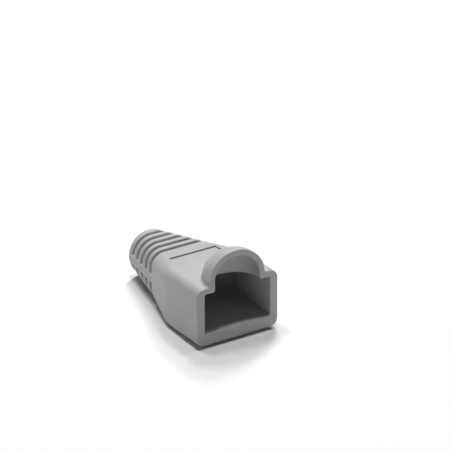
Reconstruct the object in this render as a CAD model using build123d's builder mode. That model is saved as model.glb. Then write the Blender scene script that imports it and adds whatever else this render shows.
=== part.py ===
from build123d import *
import os
from math import cos, radians, sin

# A slip-on boot for the plug of a network cable, moulded as one piece of soft PVC.
# The mouth faces -Y and takes the plug, and the cable leaves along +Y.
# X is across the plug, and the flat belly is at Z = 0. Sizes are in millimetres.

# The plug and the cable that the boot grips
plug_width = 11.7
plug_height = 6.5
plug_clearance = 0.05
socket_depth = 10.6
socket_corner = 0.3
bore_diameter = 5.65
bore_height = 4.5
funnel_length = 4.6

# Walls of the body round the plug
side_wall = 1.44
floor_wall = 1.97
roof_wall = 1.0
top_corner = 1.5
belly_corner = 1.3
rim_round = 0.25

# Lengths back from the mouth: the body is straight, then draws in to its neck
straight_length = 9.05
body_length = 15.9

# Neck, where the body ends and the ribbed relief starts
neck_width = 11.1
neck_height = 8.1
neck_lift = 0.9
neck_corner = 2.3

# Ribbed relief: slots above and below, a solid spine along each side, and an end ring
slot_count = 5
slot_width = 0.8
rib_width = 1.1
rib_round = 0.35
ring_width = 1.3
ring_diameter = 7.3
ring_flat = 0.2
sleeve_wall = 0.5
spine_height = 1.3

# Bubble over the plug's latch: a half dome, open at the mouth, with its rim leaning back
bubble_width = 10.0
bubble_rise = 4.8
bubble_depth = 5.9
bubble_wall = 0.95
bubble_lean = 9
bubble_rim_round = 0.25
hollow_round = 0.3

# Label pocket on the sloping top
label_width = 8.52
label_length = 3.6
label_depth = 0.27
label_gap = 0.15

# Flash, the thin raised line that the two halves of the mould leave on each side
flash_thickness = 0.16
flash_proud = 0.08
parting_height = 4.93

# Sizes that follow from the ones above
socket_width = plug_width + 2 * plug_clearance
socket_height = plug_height + 2 * plug_clearance
ceiling_height = floor_wall + socket_height
body_width = socket_width + 2 * side_wall
body_height = ceiling_height + roof_wall
neck_top = neck_lift + neck_height
rib_pitch = slot_width + rib_width
relief_length = slot_count * rib_pitch - rib_width + ring_width
boot_length = body_length + relief_length
mouth = -boot_length / 2
tail = boot_length / 2
bubble_radius = bubble_width / 2
bubble_middle = body_height + bubble_rise - bubble_radius


def across(distance):
    """Section plane across the boot, that far back from the mouth, with Z up."""
    return Plane.XZ.offset(-(mouth + distance))


def relief_share(distance):
    """How far along the relief a section is, from 0 at the neck to 1 at the tail."""
    return (distance - body_length) / relief_length


def relief_outline(distance):
    """Outline of the relief there: a rounded oblong at the neck, nearly round at the tail."""
    share = relief_share(distance)
    width = neck_width + share * (ring_diameter - neck_width)
    height = neck_height + share * (ring_diameter - neck_height)
    neck_centre = neck_lift + neck_height / 2
    centre = neck_centre + share * (bore_height - neck_centre)
    corner = neck_corner + share * ((ring_diameter - ring_flat) / 2 - neck_corner)
    with BuildSketch(across(distance)) as outline:
        with Locations((0, centre)):
            RectangleRounded(width, height, corner)
    return outline.sketch


def body_outline(distance, width, bottom, top, upper_corner, lower_corner):
    """Outline of the body there: an oblong with its own upper and lower corner radius."""
    with BuildSketch(across(distance)) as outline:
        with Locations((0, (bottom + top) / 2)):
            Rectangle(width, top - bottom)
        fillet(outline.vertices().group_by(Axis.Y)[-1], upper_corner)
        fillet(outline.vertices().group_by(Axis.Y)[0], lower_corner)
    return outline.sketch


def bubble_form(radius, depth):
    """Egg shape about the mouth plane: round seen along Y, and that deep behind the mouth."""
    with BuildPart() as form:
        with BuildSketch(Plane.YZ):
            with BuildLine():
                arc = EllipticalCenterArc((mouth, bubble_middle), depth, radius, arc_size=180)
                Line(arc @ 1, arc @ 0)
            make_face()
        revolve(axis=Axis((0, mouth, bubble_middle), (0, 1, 0)))
    return form.part


# Plane of the sloping top, from the shoulder line down to the neck
slope_run = body_length - straight_length
slope_fall = body_height - neck_top
slope_plane = Plane(
    origin=(0, mouth + straight_length, body_height), x_dir=(1, 0, 0), z_dir=(0, slope_fall, slope_run)
)

# The bubble's outside, cut off at the mouth below the roof and along its leaning rim above it
lean = radians(bubble_lean)
rim_plane = Plane(origin=(0, mouth, body_height), x_dir=(1, 0, 0), z_dir=(0, cos(lean), -sin(lean)))
with BuildPart() as bubble:
    add(bubble_form(bubble_radius, bubble_depth))
    split(bisect_by=across(0), keep=Keep.BOTTOM)
    split(bisect_by=rim_plane, keep=Keep.TOP)
    bubble_rim = bubble.faces().filter_by(GeomType.PLANE).sort_by(Axis.Z)[-1]
    fillet(bubble_rim.edges().filter_by(GeomType.BSPLINE), bubble_rim_round)

# The bubble's hollow, which runs straight down through the roof into the socket
with BuildPart() as hollow:
    add(bubble_form(bubble_radius - bubble_wall, bubble_depth - bubble_wall))
    with BuildSketch(Plane.XY.offset(bubble_middle)):
        with Locations((0, mouth)):
            Ellipse(bubble_radius - bubble_wall, bubble_depth - bubble_wall)
    extrude(amount=-(bubble_middle - floor_wall - socket_height / 2))

# Ribs between the slots, each with its two rims rounded, and the ring that ends the relief
ribs = []
for index in range(slot_count):
    rib_start = body_length + slot_width + index * rib_pitch
    rib_end = rib_start + (ring_width if index == slot_count - 1 else rib_width)
    with BuildPart() as rib:
        loft([relief_outline(rib_start), relief_outline(rib_end)], ruled=True)
        fillet(rib.faces().sort_by(Axis.Y)[0].edges() + rib.faces().sort_by(Axis.Y)[-1].edges(), rib_round)
    ribs.append(rib.part)

# The spine along both sides of the relief, as wide as the ribs that it joins
with BuildPart() as spine:
    loft([relief_outline(body_length - rib_round), relief_outline(boot_length - ring_width / 2)], ruled=True)
    with BuildSketch(Plane.XY.offset(parting_height - spine_height / 2)):
        Rectangle(body_width, boot_length)
    extrude(amount=spine_height, mode=Mode.INTERSECT)

# The flash: a thin sheet on the parting line, as wide as the boot and a little proud of it
with BuildPart() as flash:
    with BuildSketch(Plane.XY) as flash_plan:
        with BuildLine():
            Polyline(
                (0, mouth + rim_round),
                (body_width / 2 + flash_proud, mouth + rim_round),
                (body_width / 2 + flash_proud, mouth + straight_length),
                (neck_width / 2 + flash_proud, mouth + body_length),
                (ring_diameter / 2 + flash_proud, tail - rib_round),
                (0, tail - rib_round),
                close=True,
            )
        make_face()
        mirror(about=Plane.YZ)
    extrude(amount=body_height)
    with BuildSketch(Plane.YZ) as flash_side:
        with BuildLine():
            parting = Polyline(
                (mouth, parting_height),
                (mouth + body_length, parting_height),
                (tail, bore_height),
            )
            offset(parting, amount=flash_thickness / 2, side=Side.BOTH, closed=True)
        make_face()
    extrude(amount=body_width, both=True, mode=Mode.INTERSECT)

with BuildPart() as boot:
    # Body: straight from the mouth, then drawn in on all sides to the neck
    mouth_outline = body_outline(0, body_width, 0, body_height, top_corner, belly_corner)
    shoulder_outline = body_outline(straight_length, body_width, 0, body_height, top_corner, belly_corner)
    neck_outline = body_outline(body_length, neck_width, neck_lift, neck_top, neck_corner, neck_corner)
    loft([mouth_outline, shoulder_outline], ruled=True)
    loft([shoulder_outline, neck_outline], ruled=True)
    fillet(boot.faces().sort_by(Axis.Y)[0].edges(), rim_round)
    fillet(boot.faces().sort_by(Axis.Y)[-1].edges(), rib_round)

    # Label pocket, cut square into the sloping top
    with BuildSketch(slope_plane):
        with Locations((0, label_gap + label_length / 2)):
            Rectangle(label_width, label_length)
    extrude(amount=-label_depth, mode=Mode.SUBTRACT)

    # Relief: a sleeve round the cable, the ribs and ring on it, and the spines
    with BuildSketch(across(body_length - rib_round)):
        with Locations((0, bore_height)):
            Circle(bore_diameter / 2 + sleeve_wall)
    extrude(amount=-(relief_length - ring_width / 2))
    add(ribs)
    add(spine.part)
    add(flash.part)
    add(bubble.part)

    # Socket for the plug, the funnel behind it and the cable's bore
    with BuildSketch(across(0)):
        with Locations((0, floor_wall + socket_height / 2)):
            RectangleRounded(socket_width, socket_height, socket_corner)
    extrude(amount=-socket_depth, mode=Mode.SUBTRACT)
    with BuildSketch(across(socket_depth)) as funnel_mouth:
        with Locations((0, floor_wall + socket_height / 2)):
            RectangleRounded(socket_width, socket_height, socket_corner)
    with BuildSketch(across(socket_depth + funnel_length)) as funnel_end:
        with Locations((0, bore_height)):
            RectangleRounded(bore_diameter, bore_diameter, (bore_diameter - ring_flat) / 2)
    loft(ruled=True, mode=Mode.SUBTRACT)
    with BuildSketch(across(socket_depth + funnel_length)):
        with Locations((0, bore_height)):
            Circle(bore_diameter / 2)
    extrude(amount=-(boot_length - socket_depth - funnel_length), mode=Mode.SUBTRACT)
    add(hollow.part, mode=Mode.SUBTRACT)

    # Soft corner where the hollow opens through the socket's ceiling
    ceiling = boot.faces().filter_by(GeomType.PLANE).filter_by(Axis.Z)
    opened = ceiling.sort_by(lambda face: abs(face.center().Z - ceiling_height))[0]
    fillet(opened.edges().filter_by(GeomType.BSPLINE), hollow_round)

boot.part.label = "boot"
os.makedirs("parts", exist_ok=True)
export_step(boot.part, "parts/boot.step")
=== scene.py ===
"""A slip-on strain relief boot for a network plug, moulded in grey soft PVC, on a white table.

The boot is one closed surface of two parameters. One turns a ray round the line where the
mould's halves meet, and the other is a station that runs from the mouth back along the outside,
over the tail ring, and forward again through the bore, the funnel and the socket.
"""

from math import pi, radians, tan

import bpy
import numpy as np
from bpy.props import FloatProperty, FloatVectorProperty, IntProperty, PointerProperty
from mathutils import Euler, Matrix, Vector


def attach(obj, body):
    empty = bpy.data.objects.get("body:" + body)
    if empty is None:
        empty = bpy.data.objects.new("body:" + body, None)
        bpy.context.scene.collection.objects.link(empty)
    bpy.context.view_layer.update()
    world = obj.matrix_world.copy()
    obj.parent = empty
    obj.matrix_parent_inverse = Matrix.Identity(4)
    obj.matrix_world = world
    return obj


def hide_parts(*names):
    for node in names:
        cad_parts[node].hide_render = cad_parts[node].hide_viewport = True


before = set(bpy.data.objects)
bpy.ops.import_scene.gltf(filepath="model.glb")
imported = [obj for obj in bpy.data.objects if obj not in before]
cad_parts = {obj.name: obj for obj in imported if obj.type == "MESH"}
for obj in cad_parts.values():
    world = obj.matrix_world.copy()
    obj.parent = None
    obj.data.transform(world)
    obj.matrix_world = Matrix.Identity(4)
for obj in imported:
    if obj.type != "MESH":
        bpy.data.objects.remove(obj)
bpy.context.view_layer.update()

bl_info = {
    "name": "Cable plug boot",
    "version": (1, 0, 0),
    "blender": (4, 5, 0),
    "location": "View3D > Sidebar > Plug boot",
    "description": "A ribbed strain relief boot for a modular network plug",
    "category": "Add Mesh",
}

MM = 0.001
BOOT_NODE = "boot"

# Rays that are cast round the boot, how far they reach, and how often the span that holds the
# surface is halved, which ends far below a micron
RAY_COUNT = 384
RAY_REACH = 14 * MM
HALVINGS = 34

# Where the rays crowd together: degrees from straight up, spread in degrees, and added density
CROWDED_RAYS = (
    (43.3, 1.6, 2.0),  # side of the label pocket
    (48.0, 2.2, 1.6),  # foot of the bubble
    (58.5, 6.0, 1.4),  # upper corners of the body and the socket
    (90.0, 1.3, 5.0),  # flash
    (82.0, 3.2, 1.6),  # upper edge of the spine
    (98.0, 3.2, 1.6),  # lower edge of the spine
    (116.8, 3.0, 1.6),  # lower corner of the socket
    (130.0, 4.0, 0.6),  # corner of the belly
)
# Even angles over a full turn, on which that density is summed up
FINE_ANGLES = 14401

# Rows and rays that stand this close on both sides of an edge keep it sharp
HAIR = 0.0005 * MM
HAIR_ANGLE = 1e-4

# Rows of the mesh over a rounded edge outside and inside, and over each part between two edges
ROUND_ROWS = 8
INNER_ROUND_ROWS = 6
BUBBLE_ROWS = 27
ROOF_ROWS = 15
LABEL_ROWS = 10
SLOPE_ROWS = 7
SLOT_ROWS = 4
BORE_ROWS = 8
FUNNEL_ROWS = 10
SOCKET_ROWS = 8
HOLLOW_ROWS = 24
RIM_SHARES = (1 / 3, 2 / 3)

# How far past a fillet its rows go, as a share of the fillet
FOOT_SPAN = 1.15
HOLLOW_SPAN = 1.2

# The bubble's lean starts softly at the roof and fades out behind the mouth
LEAN_START = 0.25 * MM
LEAN_FADE = 6 * MM
# The rim's rounding changes over this height above the roof to that of the bubble
RIM_CHANGE = 1 * MM

# Small fillets along the spine and the flash
SPINE_FILLET = 0.1 * MM
FLASH_FILLET = 0.05 * MM
# What is left of the flash on the left of the body, and how far it wanders on the relief
FLASH_WORN = 0.2
FLASH_WANDER = 0.06 * MM
WANDER_LENGTH = 1.3e-3
WANDER_START = 2 * MM
# Length of the sinks' waves over one radian, along X, Y and Z, and where those along X and Z start
SINK_LENGTHS = (2.1e-3, 2.7e-3, 2.3e-3)
SINK_STARTS = (0.7, 0.4)

# An edge of the mesh that bends more than this looks sharp
SHARP_EDGE = radians(40)

# Sockets of a Mix node for colours, which share their names with those for other types
MIX_FACTOR, MIX_FIRST, MIX_SECOND, MIX_RESULT = 0, 6, 7, 2

# Each lamp: its direction from the boot, and its side in metres
LAMP_DISTANCE = 0.8
LAMPS = {
    "right_lamp": ((0.585, 0.61, 1), 0.12),
    "back_lamp": ((0.29, 0.44, 1), 0.14),
    "top_lamp": ((-0.13, 0.24, 1), 0.14),
    "side_lamp": ((0.3, -0.04, 1), 0.1),
    "near_lamp": ((-0.03, -0.04, 1), 0.08),
    "left_lamp": ((-1, 0.25, 0.35), 0.5),
}
SENSOR_WIDTH = 36


def linear_colour(hex_code):
    """Linear RGBA of an sRGB hex colour: each channel goes through the sRGB curve."""
    channels = np.array([int(hex_code[k:k + 2], 16) for k in (1, 3, 5)]) / 255
    linear = np.where(channels <= 0.04045, channels / 12.92, ((channels + 0.055) / 1.055) ** 2.4)
    return (*linear.tolist(), 1.0)


def size(name, description, millimetres):
    """A length property, written in millimetres and kept in metres."""
    return FloatProperty(
        name=name, description=description, default=millimetres * MM, unit="LENGTH", precision=5
    )


def colour(name, description, hex_code):
    """A colour property, written as sRGB hex and kept linear."""
    return FloatVectorProperty(
        name=name, description=description, default=linear_colour(hex_code), size=4, subtype="COLOR"
    )


def strength(name, description, amount):
    """The strength of a light, where 1 makes a white surface that faces it white."""
    return FloatProperty(name=name, description=description, default=amount, min=0)


class BootShape(bpy.types.PropertyGroup):
    """Sizes of the moulding. Y runs back from the mouth, and the belly is at Z = 0."""

    socket_width: size("Socket width", "Inside width that grips the plug", 11.8)
    socket_height: size("Socket height", "Inside height that grips the plug", 6.6)
    socket_depth: size("Socket depth", "From the mouth to where the funnel starts", 10.6)
    socket_corner: size("Socket corner", "Radius of the socket's four long corners", 0.3)
    bore_radius: size("Bore radius", "Half the bore for the cable", 2.825)
    bore_height: size("Bore height", "Axis of the bore above the belly", 4.5)
    funnel_length: size("Funnel length", "Length over which the socket draws in to the bore", 4.6)
    side_wall: size("Side wall", "Wall on both sides of the socket", 1.44)
    floor_wall: size("Floor wall", "Wall under the socket", 1.97)
    roof_wall: size("Roof wall", "Wall above the socket", 1.0)
    top_corner: size("Top corner", "Radius of the body's two upper corners", 1.5)
    belly_corner: size("Belly corner", "Radius of the body's two lower corners", 1.3)
    rim_round: size("Rim rounding", "Rounding outside the mouth's rim", 0.25)
    inner_round: size("Inner rounding", "Rounding inside the mouth's rim and the tail's", 0.14)
    straight_length: size("Straight length", "From the mouth to the shoulder", 9.05)
    body_length: size("Body length", "From the mouth to the neck", 15.9)
    shoulder_ease: size("Shoulder ease", "How far the shoulder's bend is spread", 0.45)
    neck_width: size("Neck width", "Width where the body ends", 11.1)
    neck_top: size("Neck top", "Height of the neck's top", 9.0)
    neck_lift: size("Neck lift", "Height of the neck's underside", 0.9)
    neck_corner: size("Neck corner", "Corner radius at the neck", 2.3)
    slot_width: size("Slot width", "Slot between two ribs", 0.8)
    rib_width: size("Rib width", "Each rib along the cable", 1.1)
    rib_round: size("Rib rounding", "Rounding of the ribs' rims", 0.35)
    slot_count: IntProperty(
        name="Slots", description="Slots above, and as many below", default=5, min=1, max=12
    )
    ring_width: size("Ring width", "The end ring along the cable", 1.3)
    ring_diameter: size("Ring diameter", "The end ring across", 7.3)
    ring_flat: size("Ring flat", "What is left flat of each of the ring's four sides", 0.2)
    sleeve_wall: size("Sleeve wall", "Wall left round the bore at the bottom of the slots", 0.5)
    spine_height: size("Spine height", "Solid spine along each side of the relief", 1.3)
    bubble_width: size("Bubble width", "The bubble across", 9.9)
    bubble_rise: size("Bubble rise", "The bubble above the roof", 4.7)
    bubble_depth: size("Bubble depth", "From the mouth to the back of the bubble", 5.66)
    bubble_wall: size("Bubble wall", "Wall of the bubble", 0.93)
    bubble_upright: size("Bubble's upright foot", "It goes straight up first, so far", 0.37)
    bubble_straight: size("Bubble's straight front", "It goes straight back first, so far", 1.0)
    bubble_foot: size("Bubble foot", "Fillet round the foot of the bubble", 0.45)
    bubble_rim_round: size("Bubble rim rounding", "Rounding outside the bubble's rim", 0.14)
    bubble_lean: FloatProperty(
        name="Bubble lean", description="How far the bubble's rim leans back",
        default=radians(6.5), subtype="ANGLE",
    )
    hollow_round: size("Hollow rounding", "Rounding where the hollow meets the ceiling", 0.35)
    label_width: size("Label width", "The label pocket across", 8.52)
    label_length: size("Label length", "The label pocket along the slope", 3.6)
    label_depth: size("Label depth", "Depth of the label pocket", 0.27)
    label_gap: size("Label gap", "From the shoulder to the pocket", 0.15)
    flash_thickness: size("Flash thickness", "Raised line where the mould's halves met", 0.16)
    flash_proud: size("Flash height", "How far that line stands out", 0.07)
    parting_height: size("Parting height", "Height of that line on the body", 4.93)
    unevenness: size("Unevenness", "Depth of the shallow sinks that moulding leaves", 0.035)


class BootFinish(bpy.types.PropertyGroup):
    """The soft PVC and its surface."""

    pvc: colour("PVC", "Main colour of the grey PVC", "#B1B1B2")
    pvc_cloud: colour("PVC cloud", "Slightly darker clouds in it", "#A9A9AA")
    roughness: FloatProperty(
        name="Roughness", description="Matt skin of a sparked mould", default=0.52, min=0, max=1
    )
    cloud_size: size("Cloud size", "Width of one cloud of colour", 3.0)
    grain_size: size("Grain size", "Width of one grain of the matt skin", 0.22)
    grain_depth: size("Grain depth", "Depth of that grain", 0.011)


class BootStage(bpy.types.PropertyGroup):
    """Table, lamps and camera."""

    table: colour("Table", "White table top", "#EEEEEE")
    table_size: FloatProperty(
        name="Table size", description="Side of the table top", default=3.0, unit="LENGTH"
    )
    camera_place: FloatVectorProperty(
        name="Camera place", description="Where the camera stands",
        default=(-0.258617, -0.406118, 0.235707), subtype="TRANSLATION", precision=6,
    )
    camera_turn: FloatVectorProperty(
        name="Camera turn", description="How the camera is turned",
        default=(radians(65.2318), radians(0.2446), radians(-33.2274)), subtype="EULER",
        precision=6,
    )
    lens: FloatProperty(
        name="Lens", description="Focal length on a 36 mm sensor, in millimetres", default=275.77
    )
    right_lamp: strength("Right lamp", "Light from high at the right and back", 0.29)
    back_lamp: strength("Back lamp", "Light from high at the back", 0.31)
    top_lamp: strength("Top lamp", "Light from nearly overhead, a little to the back", 0.26)
    side_lamp: strength("Side lamp", "Light from high at the right", 0.13)
    near_lamp: strength("Near lamp", "Light from straight overhead", 0.29)
    left_lamp: strength("Left lamp", "Light from low at the left, that fills the side", 0.035)
    sky: strength("Sky", "Even light all round", 0.075)


# Shape of the boot

def oblong(x, z, half_width, half_height, corner):
    """Distance to an oblong with rounded corners, negative inside it."""
    over_x = np.abs(x) - half_width + corner
    over_z = np.abs(z) - half_height + corner
    outside = np.hypot(np.maximum(over_x, 0), np.maximum(over_z, 0))
    return outside + np.minimum(np.maximum(over_x, over_z), 0) - corner


def egg(x, y, z, half_width, depth, half_height):
    """Distance to an egg with three half sizes.

    It is the length scaled by them, times itself less 1, over the slope of that scaled length,
    which is kept above 0 in the very middle.
    """
    scaled = np.sqrt((x / half_width) ** 2 + (y / depth) ** 2 + (z / half_height) ** 2)
    slope = np.sqrt((x / half_width**2) ** 2 + (y / depth**2) ** 2 + (z / half_height**2) ** 2)
    return scaled * (scaled - 1) / np.maximum(slope, 1e-9)


def joined(first, second, fillet):
    """Both forms together, with a round fillet in the corner between them."""
    corner = np.hypot(np.maximum(fillet - first, 0), np.maximum(fillet - second, 0))
    return np.maximum(fillet, np.minimum(first, second)) - corner


def shared(first, second, rounding):
    """What both forms share, with its edge rounded."""
    edge = np.hypot(np.maximum(rounding + first, 0), np.maximum(rounding + second, 0))
    return np.minimum(-rounding, np.maximum(first, second)) + edge


def body_height(shape):
    """The roof above the belly."""
    return shape.floor_wall + shape.socket_height + shape.roof_wall


def mouth_half_width(shape):
    """Half the width of the body at the mouth."""
    return shape.socket_width / 2 + shape.side_wall


def bubble(shape, x, y, z, wall):
    """Distance to the bubble's outside, or to its hollow where a wall is given.

    It is half an egg, drawn out straight down to the roof and straight forward to the mouth.
    """
    return egg(
        x,
        np.maximum(y - shape.bubble_straight, 0),
        np.maximum(z - body_height(shape) - shape.bubble_upright, 0),
        shape.bubble_width / 2 - wall,
        shape.bubble_depth - shape.bubble_straight - wall,
        shape.bubble_rise - shape.bubble_upright - wall,
    )


def bubble_back(shape, across, wall):
    """How far back the bubble or its hollow reaches at the roof, that far from its middle."""
    half_width = shape.bubble_width / 2 - wall
    depth = shape.bubble_depth - shape.bubble_straight - wall
    bulge = np.clip(1 - (across / half_width) ** 2, 0, 1)
    return np.where(bulge > 0, shape.bubble_straight + depth * np.sqrt(bulge), 0)


def boot_length(shape):
    """From the mouth to the tail."""
    pitch = shape.slot_width + shape.rib_width
    ribs = shape.slot_count * pitch - shape.rib_width + shape.ring_width
    return shape.body_length + ribs


def along(shape, station, at_mouth, at_neck, at_tail):
    """A size along the boot: steady to the shoulder, then in line to the neck and to the tail.

    The mean of three nearby stations spreads the bend at the shoulder, and they draw together
    towards the neck, where the bend stays sharp.
    """
    stations = [0, shape.straight_length, shape.body_length, boot_length(shape)]
    sizes = [at_mouth, at_mouth, at_neck, at_tail]
    ease = np.minimum(shape.shoulder_ease, np.abs(shape.body_length - station) * 0.5)
    return sum(np.interp(station + k * ease, stations, sizes) for k in (-1, 0, 1)) / 3


def outline_sizes(shape, station):
    """Half width, underside, top and both corner radii of the outside at a station."""
    ring = shape.ring_diameter / 2
    half_width = along(shape, station, mouth_half_width(shape), shape.neck_width / 2, ring)
    underside = along(shape, station, 0, shape.neck_lift, shape.bore_height - ring)
    top = along(shape, station, body_height(shape), shape.neck_top, shape.bore_height + ring)
    ring_corner = ring - shape.ring_flat / 2
    upper = along(shape, station, shape.top_corner, shape.neck_corner, ring_corner)
    lower = along(shape, station, shape.belly_corner, shape.neck_corner, ring_corner)
    return half_width, underside, top, upper, lower


def parting(shape, station):
    """Height of the line where the mould's halves met."""
    return np.interp(
        station, [0, shape.body_length, boot_length(shape)],
        [shape.parting_height, shape.parting_height, shape.bore_height],
    )


def rib_spans(shape):
    """First and last station of each rib, and of the ring that comes last."""
    pitch = shape.slot_width + shape.rib_width
    starts = shape.body_length + shape.slot_width + pitch * np.arange(shape.slot_count)
    ends = starts + shape.rib_width
    ends[-1] = starts[-1] + shape.ring_width
    return list(zip(starts, ends))


def label_span(shape):
    """First and last station of the label pocket, measured down the slope."""
    run = shape.body_length - shape.straight_length
    fall = body_height(shape) - shape.neck_top
    level = run / np.hypot(run, fall)
    first = shape.straight_length + shape.label_gap * level
    return first, first + shape.label_length * level


def sinks(shape, x, y, z):
    """Depth of the shallow sinks: the product of a slow wave along X, Y and Z, raised above 0."""
    length_x, length_y, length_z = SINK_LENGTHS
    start_x, start_z = SINK_STARTS
    waves = np.sin(x / length_x + start_x) * np.sin(y / length_y) * np.cos(z / length_z + start_z)
    return shape.unevenness * (1 + waves) / 2


def flash_line(shape, outline, x, y, z):
    """Distance to the flash: a thin sheet on the seam that stands out of the outline.

    It has nearly gone from the left of the body, and wanders a little on the relief.
    """
    worn = np.where((x < 0) & (y < shape.body_length), FLASH_WORN, 1.0)
    on_relief = np.clip((y - shape.body_length) / WANDER_START, 0, 1)
    wander = FLASH_WANDER * np.sin(y / WANDER_LENGTH) * on_relief
    level = np.abs(z - parting(shape, y) - wander) - shape.flash_thickness / 2
    sheet = np.maximum(outline - shape.flash_proud * worn, level)
    ends = np.maximum(shape.rim_round - y, y - boot_length(shape) + shape.rib_round)
    return np.maximum(sheet, ends)


def outside(shape, x, y, z, station):
    """Distance to the boot's outside, negative in the plastic and in the space it holds."""
    half_width, underside, top, upper, lower = outline_sizes(shape, y)
    middle = (top + underside) / 2
    corner = np.where(z > middle, upper, lower)
    seam = parting(shape, y)
    sink = sinks(shape, x, y, z)
    outline = oblong(x, z - middle, half_width, (top - underside) / 2, corner) + sink

    dome = np.maximum(bubble(shape, x, y, z, 0) + sink / 2, seam - z)
    body = joined(shared(outline, y - shape.body_length, shape.rib_round), dome, shape.bubble_foot)

    sleeve = np.hypot(x, z - shape.bore_height) - shape.bore_radius - shape.sleeve_wall
    spine = np.maximum(outline, np.abs(z - seam) - shape.spine_height / 2)
    relief = joined(sleeve, spine, SPINE_FILLET)
    relief = np.maximum(relief, y - boot_length(shape) + shape.ring_width / 2)
    for start, end in rib_spans(shape):
        rib = shared(outline, np.abs(y - (start + end) / 2) - (end - start) / 2, shape.rib_round)
        relief = np.minimum(relief, rib)
    solid = joined(np.minimum(body, relief), flash_line(shape, outline, x, y, z), FLASH_FILLET)

    share = np.clip((z - body_height(shape)) / RIM_CHANGE, 0, 1)
    rim = shape.rim_round + (shape.bubble_rim_round - shape.rim_round) * share
    return shared(solid, -station, rim)


def inside(shape, x, y, z, station):
    """Distance to the space in the boot, negative in it: socket, hollow, funnel and bore."""
    share = np.clip((y - shape.socket_depth) / shape.funnel_length, 0, 1)

    def between(socket_size, bore_size):
        """The socket's size up to the funnel, then in line to the bore's."""
        return socket_size + share * (bore_size - socket_size)

    cavity = oblong(
        x,
        z - between(shape.floor_wall + shape.socket_height / 2, shape.bore_height),
        between(shape.socket_width / 2, shape.bore_radius),
        between(shape.socket_height / 2, shape.bore_radius),
        between(shape.socket_corner, shape.bore_radius),
    )
    hollow = bubble(shape, x, y, z, shape.bubble_wall)
    hollow = np.maximum(hollow, shape.floor_wall + shape.socket_height / 2 - z)
    cavity = joined(cavity, hollow, shape.hollow_round)
    cavity = joined(cavity, station, shape.inner_round)
    return joined(cavity, boot_length(shape) - y, shape.inner_round)


def label_edge(shape, stations):
    """Angle of the ray that meets the roof at the label pocket's side.

    Its tangent is the side's distance from the middle over the ray's height, both unstretched.
    """
    stretch = outline_sizes(shape, stations)[0] / mouth_half_width(shape)
    height = body_height(shape) - shape.parting_height
    return np.arctan(shape.label_width / 2 / (stretch * height))


def ray_angles(shape, count):
    """Angles of the rays from straight up, closer together where the outline has a corner or edge.

    The running sum of a density, with a bump at each such angle, is turned into even steps. Two
    more rays lie close together at each side of the label pocket, one for the top of its wall and
    one for the foot.
    """
    fine = np.linspace(-180, 180, FINE_ANGLES)
    density = 1 + sum(
        gain * np.exp(-(((np.abs(fine) - middle) / spread) ** 2))
        for middle, spread, gain in CROWDED_RAYS
    )
    total = np.concatenate([[0], np.cumsum((density[1:] + density[:-1]) / 2)])
    even = np.radians(np.interp(np.arange(count) / count * total[-1], total, fine))
    edge = label_edge(shape, np.array([0.0]))
    pair = np.concatenate([edge - HAIR_ANGLE, edge + HAIR_ANGLE])
    return np.sort(np.concatenate([even, pair, -pair]))


def turned_to_label(shape, angles, stations):
    """The angles at each station, turned so that the two pairs of rays run along the label pocket.

    Rays between the pairs turn in proportion, and those from a pair down to the seam too. Behind
    the pocket the turn fades out to the neck.
    """
    _, last = label_span(shape)
    at_mouth = label_edge(shape, np.array([0.0]))
    share = np.clip((shape.body_length - stations) / (shape.body_length - last), 0, 1)
    edge = at_mouth + (label_edge(shape, stations) - at_mouth) * share
    turn = np.abs(angles)
    between = turn * edge / at_mouth
    beyond = edge + (turn - at_mouth) * (pi / 2 - edge) / (pi / 2 - at_mouth)
    turned = np.where(turn < at_mouth, between, np.where(turn < pi / 2, beyond, turn))
    return np.sign(angles) * turned


def surface(shape, distance, angles, stations):
    """Points where rays from the seam meet a form, found by halving the span that holds each one.

    At each station the rays are stretched as the outline is, so that they keep to its edges. Near
    the mouth a station leans back above the roof, as the bubble's rim does.
    """
    half_width, underside, top, _, _ = outline_sizes(shape, stations)
    seam = parting(shape, stations)
    upper = (top - seam) / (body_height(shape) - shape.parting_height)
    lower = (seam - underside) / shape.parting_height
    toward_x = np.sin(angles) * half_width / mouth_half_width(shape)
    toward_z = np.cos(angles) * np.where(np.cos(angles) > 0, upper, lower)
    share = np.clip(stations / LEAN_FADE, 0, 1)
    lean = tan(shape.bubble_lean) * (1 - share**2 * (3 - 2 * share))

    def place(reach):
        """The point on each ray that far from the seam."""
        x = reach * toward_x
        z = seam + reach * toward_z
        above = z - body_height(shape)
        y = stations + lean * (above + np.hypot(above, LEAN_START)) / 2
        return x, y, z

    near = np.zeros_like(stations)
    far = np.full_like(stations, RAY_REACH)
    for _ in range(HALVINGS):
        middle = (near + far) / 2
        within = distance(shape, *place(middle), stations) < 0
        near = np.where(within, middle, near)
        far = np.where(within, far, middle)
    return np.stack(place((near + far) / 2), axis=-1)


def eased(count):
    """Steps from 0 to 1 that start close together: 1 less the cosine of a quarter turn's steps."""
    return 1 - np.cos(np.linspace(0, pi / 2, count))


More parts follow.
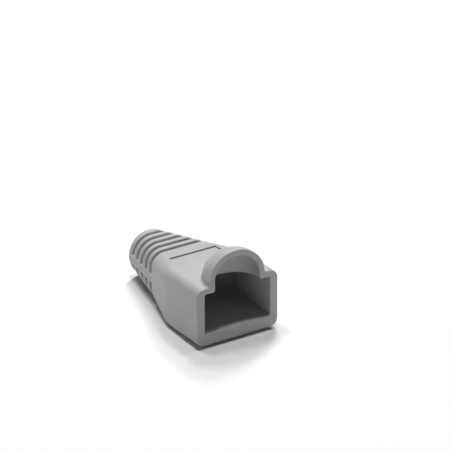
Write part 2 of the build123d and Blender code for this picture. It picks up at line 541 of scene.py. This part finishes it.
def outside_stations(shape, angles):
    """Stations of the outside from mouth to tail, one row each.

    Up to the bubble's foot the rows follow the line where it meets the roof.
    """
    ease = eased(ROUND_ROWS)
    across = (body_height(shape) - shape.parting_height) * np.abs(np.tan(angles))
    across = np.where(np.cos(angles) > 0, across, shape.bubble_width)
    foot = np.maximum(bubble_back(shape, across, 0), 2 * shape.rim_round)
    first, last = label_span(shape)
    rows = [HAIR + shape.rim_round * ease[:, None] + 0 * foot]
    over_bubble = np.sin(np.linspace(0, pi / 2, BUBBLE_ROWS)[1:, None])
    rows.append(shape.rim_round + (foot - shape.rim_round) * over_bubble)
    rows.append(foot + FOOT_SPAN * shape.bubble_foot * ease[1:, None])
    behind = foot + FOOT_SPAN * shape.bubble_foot
    rows.append(behind + (first - HAIR - behind) * np.linspace(0, 1, ROOF_ROWS)[1:, None])
    steady = [
        np.linspace(first + HAIR, last - HAIR, LABEL_ROWS),
        np.linspace(last + HAIR, shape.body_length - shape.rib_round, SLOPE_ROWS),
        shape.body_length - HAIR - shape.rib_round * ease[-2::-1],
    ]
    slot_start = shape.body_length
    for start, end in rib_spans(shape):
        steady.append(np.linspace(slot_start + HAIR, start - HAIR, SLOT_ROWS))
        steady.append(start + HAIR + shape.rib_round * ease)
        steady.append(end - HAIR - shape.rib_round * ease[::-1])
        slot_start = end
    rows.append(np.concatenate(steady)[:, None] + 0 * foot)
    return np.concatenate(rows)


def inside_stations(shape, angles):
    """Stations of the inside from tail to mouth, one row each.

    From the hollow's back on, the rows follow the line where it opens through the ceiling.
    """
    ease = eased(INNER_ROUND_ROWS)
    ceiling = shape.floor_wall + shape.socket_height
    across = (ceiling - shape.parting_height) * np.abs(np.tan(angles))
    across = np.where(np.cos(angles) > 0, across, shape.bubble_width)
    back = np.maximum(bubble_back(shape, across, shape.bubble_wall), 6 * shape.inner_round)
    length = boot_length(shape)
    funnel_end = shape.socket_depth + shape.funnel_length
    steady = np.concatenate([
        length - shape.inner_round * ease,
        np.linspace(length - shape.inner_round, funnel_end, BORE_ROWS)[1:],
        np.linspace(funnel_end, shape.socket_depth, FUNNEL_ROWS)[1:],
    ])
    rows = [steady[:, None] + 0 * back]
    behind = back + HOLLOW_SPAN * shape.hollow_round
    to_hollow = np.linspace(0, 1, SOCKET_ROWS)[1:, None]
    rows.append(shape.socket_depth + (behind - shape.socket_depth) * to_hollow)
    rows.append(back + (behind - back) * ease[-2::-1, None])
    to_mouth = np.cos(np.linspace(0, pi / 2, HOLLOW_ROWS)[1:, None])
    rows.append(shape.inner_round + (back - shape.inner_round) * to_mouth)
    rows.append(shape.inner_round * ease[-2::-1, None] + 0 * back)
    return np.concatenate(rows)


def sink_label(shape, points, angles, stations):
    """Moves the points of the label pocket straight down by its depth, so its walls are upright."""
    first, last = label_span(shape)
    across = np.abs(angles) < label_edge(shape, np.array([0.0]))
    sunk = across & (stations > first) & (stations < last)
    points[..., 2] -= np.where(sunk, shape.label_depth, 0)


def boot_points(shape):
    """All points of the boot, row by row: outside, inside, and across the mouth's flat rim."""
    angles = ray_angles(shape, RAY_COUNT)
    outer_stations = outside_stations(shape, angles)
    inner_stations = inside_stations(shape, angles)
    turned = turned_to_label(shape, angles, outer_stations)
    outer = surface(shape, outside, turned, outer_stations)
    inner = surface(shape, inside, angles + 0 * inner_stations, inner_stations)
    sink_label(shape, outer, angles, outer_stations)
    share = np.array(RIM_SHARES)[:, None, None]
    rim = inner[-1:] + share * (outer[:1] - inner[-1:])
    points = np.concatenate([outer, inner, rim])
    points[..., 1] -= boot_length(shape) / 2
    return points


def closed_mesh(name, points):
    """A mesh of the quads between rows and columns of points, closed round both ways."""
    rows, columns = points.shape[:2]
    index = np.arange(rows * columns).reshape(rows, columns)
    after = np.roll(index, -1, axis=0)
    beside, across = np.roll(index, -1, axis=1), np.roll(after, -1, axis=1)
    quads = np.stack([index, beside, across, after], axis=-1).reshape(-1, 4)
    mesh = bpy.data.meshes.new(name)
    mesh.vertices.add(rows * columns)
    mesh.vertices.foreach_set("co", points.astype(np.float32).ravel())
    mesh.loops.add(quads.size)
    mesh.loops.foreach_set("vertex_index", quads.astype(np.int32).ravel())
    mesh.polygons.add(len(quads))
    mesh.polygons.foreach_set("loop_start", np.arange(0, quads.size, 4, dtype=np.int32))
    mesh.polygons.foreach_set("use_smooth", np.ones(len(quads), dtype=bool))
    mesh.update(calc_edges=True)
    mesh.set_sharp_from_angle(angle=SHARP_EDGE)
    return mesh


# Materials

def add_node(tree, kind, settings=None, links=None):
    """Adds a node, sets its sockets or properties by name or number, and links its inputs."""
    node = tree.nodes.new(kind)
    for key, value in (settings or {}).items():
        if isinstance(key, int) or key in node.inputs:
            node.inputs[key].default_value = value
        else:
            setattr(node, key, value)
    for key, source in (links or {}).items():
        tree.links.new(source, node.inputs[key])
    return node


def new_tree(name):
    """An empty node tree of a new material, and the material."""
    material = bpy.data.materials.new(name)
    material.use_nodes = True
    material.node_tree.nodes.clear()
    return material, material.node_tree


def moulded_soft_pvc(finish):
    """Soft PVC, injection moulded in a mould with a sparked skin.

    To the eye: an even pale grey with faint clouds where the melt flowed, a matt skin with a fine
    grain that breaks the light up, and broad soft highlights on the roundings. Real grain is
    about 0.05 mm wide, and it is drawn about four times as coarse, so that it shows. Its pits make
    the skin a little smoother or rougher than its mean. The IOR is that of PVC.
    """
    material, tree = new_tree("moulded_soft_pvc")
    place = add_node(tree, "ShaderNodeTexCoord").outputs["Object"]
    cloud = add_node(
        tree, "ShaderNodeTexNoise",
        {"Scale": 1 / finish.cloud_size, "Detail": 3.0, "Roughness": 0.55}, {"Vector": place},
    )
    tint = add_node(
        tree, "ShaderNodeMix",
        {"data_type": "RGBA", MIX_FIRST: finish.pvc, MIX_SECOND: finish.pvc_cloud},
        {MIX_FACTOR: cloud.outputs["Fac"]},
    )
    grain = add_node(
        tree, "ShaderNodeTexNoise",
        {"Scale": 1 / finish.grain_size, "Detail": 2.0, "Roughness": 0.6}, {"Vector": place},
    )
    gloss = add_node(
        tree, "ShaderNodeMapRange",
        {
            "From Min": 0.3, "From Max": 0.7,
            "To Min": finish.roughness - 0.05, "To Max": finish.roughness + 0.06,
        },
        {"Value": grain.outputs["Fac"]},
    )
    relief = add_node(
        tree, "ShaderNodeBump", {"Strength": 1.0, "Distance": finish.grain_depth},
        {"Height": grain.outputs["Fac"]},
    )
    skin = add_node(
        tree, "ShaderNodeBsdfPrincipled", {"IOR": 1.53, "Metallic": 0.0},
        {
            "Base Color": tint.outputs[MIX_RESULT],
            "Roughness": gloss.outputs["Result"],
            "Normal": relief.outputs["Normal"],
        },
    )
    add_node(tree, "ShaderNodeOutputMaterial", None, {"Surface": skin.outputs["BSDF"]})
    return material


def white_table(stage):
    """White laminate, pressed flat with a matt skin: even, with 4 mm wide specks in its gloss."""
    material, tree = new_tree("white_laminate")
    place = add_node(tree, "ShaderNodeTexCoord").outputs["Object"]
    speck = add_node(
        tree, "ShaderNodeTexNoise", {"Scale": 1 / (4 * MM), "Detail": 2.0}, {"Vector": place}
    )
    gloss = add_node(
        tree, "ShaderNodeMapRange", {"To Min": 0.75, "To Max": 0.85},
        {"Value": speck.outputs["Fac"]},
    )
    top = add_node(
        tree, "ShaderNodeBsdfPrincipled",
        {"Base Color": stage.table, "IOR": 1.45, "Specular IOR Level": 0.2},
        {"Roughness": gloss.outputs["Result"]},
    )
    add_node(tree, "ShaderNodeOutputMaterial", None, {"Surface": top.outputs["BSDF"]})
    return material


def studio_world(stage):
    """Even white light all round, and pure white where the camera looks past the table."""
    world = bpy.data.worlds.new("studio")
    world.use_nodes = True
    tree = world.node_tree
    tree.nodes.clear()
    seen = add_node(tree, "ShaderNodeLightPath").outputs["Is Camera Ray"]
    brightness = add_node(
        tree, "ShaderNodeMapRange", {"To Min": stage.sky, "To Max": 1.0}, {"Value": seen}
    )
    sky = add_node(
        tree, "ShaderNodeBackground", {"Color": (1, 1, 1, 1)},
        {"Strength": brightness.outputs["Result"]},
    )
    add_node(tree, "ShaderNodeOutputWorld", None, {"Surface": sky.outputs["Background"]})
    return world


def add_object(name, data):
    """A new object of the scene, at the origin."""
    item = bpy.data.objects.new(name, data)
    bpy.context.scene.collection.objects.link(item)
    return item


def soft_lamp(name, toward, side, light):
    """A square lamp in a direction from the boot, and facing it.

    A surface at the boot that faces the lamp gets that much light, where 1 makes a white surface
    white: power = light x pi squared x distance squared.
    """
    lamp = bpy.data.lights.new(name, "AREA")
    lamp.shape = "SQUARE"
    lamp.size = side
    lamp.energy = light * pi**2 * LAMP_DISTANCE**2
    item = add_object(name, lamp)
    item.location = Vector(toward).normalized() * LAMP_DISTANCE
    item.rotation_euler = Vector(toward).to_track_quat("Z", "Y").to_euler()
    return item


# Operators and panel

class BOOT_OT_moulding(bpy.types.Operator):
    """Makes the moulded boot and puts it in place of the plain solid"""

    bl_idname = "plug_boot.moulding"
    bl_label = "Moulded boot"

    def execute(self, context):
        scene = context.scene
        mesh = closed_mesh("boot_moulding", boot_points(scene.boot_shape))
        mesh.materials.append(moulded_soft_pvc(scene.boot_finish))
        boot = add_object("boot_moulding", mesh)
        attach(boot, "root")
        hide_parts(BOOT_NODE)
        return {"FINISHED"}


class BOOT_OT_stage(bpy.types.Operator):
    """Sets the table under the boot, the lamps over it and the camera"""

    bl_idname = "plug_boot.stage"
    bl_label = "Table, lamps and camera"

    def execute(self, context):
        scene = context.scene
        shape, stage = scene.boot_shape, scene.boot_stage

        # The table touches the boot where its belly starts to rise, and under the end ring
        length = boot_length(shape)
        heel = Vector((0, shape.straight_length - length / 2, 0))
        ring_underside = shape.bore_height - shape.ring_diameter / 2
        ring_end = Vector((0, length / 2 - shape.rib_round, ring_underside))
        slope = (ring_end - heel).normalized()
        half = stage.table_size / 2
        corners = np.array([(-half, -half), (half, -half), (half, half), (-half, half)])
        heights = (corners[:, 1] - heel.y) * (slope.z / slope.y)
        mesh = bpy.data.meshes.new("table_top")
        mesh.from_pydata(np.column_stack([corners, heights]).tolist(), [], [(0, 1, 2, 3)])
        mesh.materials.append(white_table(stage))
        add_object("table_top", mesh)

        for name, (toward, side) in LAMPS.items():
            soft_lamp(name, toward, side, getattr(stage, name))
        scene.world = studio_world(stage)

        camera = bpy.data.cameras.new("camera")
        camera.sensor_width = SENSOR_WIDTH
        camera.lens = stage.lens
        camera.clip_start = 10 * MM
        viewer = add_object("camera", camera)
        turn = Euler(stage.camera_turn).to_matrix().to_4x4()
        viewer.matrix_world = Matrix.Translation(stage.camera_place) @ turn
        scene.camera = viewer
        scene.view_settings.view_transform = "Standard"
        return {"FINISHED"}


class BOOT_PT_panel(bpy.types.Panel):
    """Lists the boot's pieces and their sizes"""

    bl_label = "Plug boot"
    bl_idname = "BOOT_PT_panel"
    bl_space_type = "VIEW_3D"
    bl_region_type = "UI"
    bl_category = "Plug boot"

    def draw(self, context):
        column = self.layout.column()
        for operator, group in OPERATORS_AND_SETTINGS:
            column.operator(operator.bl_idname)
            for name in group:
                settings = getattr(context.scene, name)
                for setting in settings.__annotations__:
                    column.prop(settings, setting)


SETTINGS = {"boot_shape": BootShape, "boot_finish": BootFinish, "boot_stage": BootStage}
OPERATORS_AND_SETTINGS = [
    (BOOT_OT_moulding, ("boot_shape", "boot_finish")),
    (BOOT_OT_stage, ("boot_stage",)),
]
CLASSES = (*SETTINGS.values(), BOOT_OT_moulding, BOOT_OT_stage, BOOT_PT_panel)


def register():
    """Registers the classes and gives the scene their settings."""
    for item in CLASSES:
        bpy.utils.register_class(item)
    for name, settings in SETTINGS.items():
        setattr(bpy.types.Scene, name, PointerProperty(type=settings))


def unregister():
    """Takes the settings and the classes away again."""
    for name in SETTINGS:
        delattr(bpy.types.Scene, name)
    for item in reversed(CLASSES):
        bpy.utils.unregister_class(item)


def main():
    """Registers the classes and makes the pieces in order."""
    register()
    bpy.ops.plug_boot.moulding()
    bpy.ops.plug_boot.stage()


if __name__ == "__main__":
    main()
